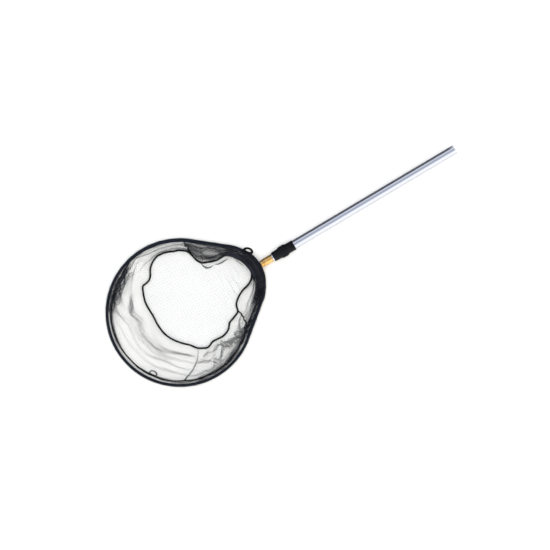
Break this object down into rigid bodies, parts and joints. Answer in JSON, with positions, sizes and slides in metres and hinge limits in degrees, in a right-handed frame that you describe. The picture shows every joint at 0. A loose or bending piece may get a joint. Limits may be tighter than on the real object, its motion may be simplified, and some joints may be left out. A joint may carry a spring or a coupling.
{
  "type": "landing net",
  "caption": "Landing net: shallow netting bag sewn to a round hoop with a blunt nose, on a screw-on head with a brass ferrule and a twist-lock telescopic pole, lying flat.",
  "frame": {"origin": "centre of the overall box in plan, on the surface the net lies on", "axes": "+X along the pole towards its butt, +Z square to the hoop, away from the bag"},
  "size_m": [1.0617, 0.4034, 0.033],
  "materials": {
    "anodised_tube": "clear anodised, polished",
    "black_plastic": "satin moulded",
    "grey_nylon": "moulded",
    "turned_brass": "turned, bright",
    "steel": "zinc plated",
    "coated_rod": "dark coated",
    "rim_netting": "knotless nylon netting, several layers",
    "black_cord": "twisted polyester seam cord",
    "bag_netting": "fine knotless nylon netting",
    "panel_netting": "very fine pale nylon netting"
  },
  "bodies": {
    "pole": {"outer_tube": "anodised_tube", "butt_plug": "black_plastic", "lock_body": "black_plastic"},
    "lock_slide": {"collet": "grey_nylon"},
    "lock_nut": {"lock_nut": "black_plastic"},
    "inner_pole": {"inner_tube": "anodised_tube", "tail_bush": "grey_nylon", "brass_ferrule": "turned_brass"},
    "stud": {"thread_stud": "steel"},
    "head": {"yoke": "black_plastic", "yoke_rivet_left": "steel", "yoke_rivet_right": "steel", "hoop_rod": "coated_rod", "rim_sleeve": "rim_netting", "rim_seam": "black_cord", "gathered_netting": "rim_netting", "bag_wall": "bag_netting", "panel_seam": "black_cord", "bottom_panel": "panel_netting", "rim_loop": "black_cord", "yoke_loop": "black_cord"}
  },
  "joints": [
    {"name": "lock_turn_travel", "type": "slide", "parent": "pole", "child": "lock_slide", "axis": [-1, 0, 0], "range_m": [0, 0.0016]},
    {"name": "lock_turn", "type": "hinge", "parent": "lock_slide", "child": "lock_nut", "pos_m": [0, 0, 0.0165], "axis": [-1, 0, 0], "range_deg": [0, 180]},
    {"name": "pole_extend", "type": "slide", "parent": "pole", "child": "inner_pole", "axis": [-1, 0, 0], "range_m": [0, 0.4]},
    {"name": "head_unscrew_travel", "type": "slide", "parent": "inner_pole", "child": "stud", "axis": [-1, 0, 0], "range_m": [0, 0.0115]},
    {"name": "head_unscrew", "type": "hinge", "parent": "stud", "child": "head", "pos_m": [-0.08, 0, 0.0165], "axis": [-1, 0, 0], "range_deg": [0, 2700]}
  ],
  "couplings": [
    {"joint": "lock_turn_travel", "follows": "lock_turn", "m_per_rad": 0.00047746},
    {"joint": "head_unscrew_travel", "follows": "head_unscrew", "m_per_rad": 0.00023873}
  ]
}
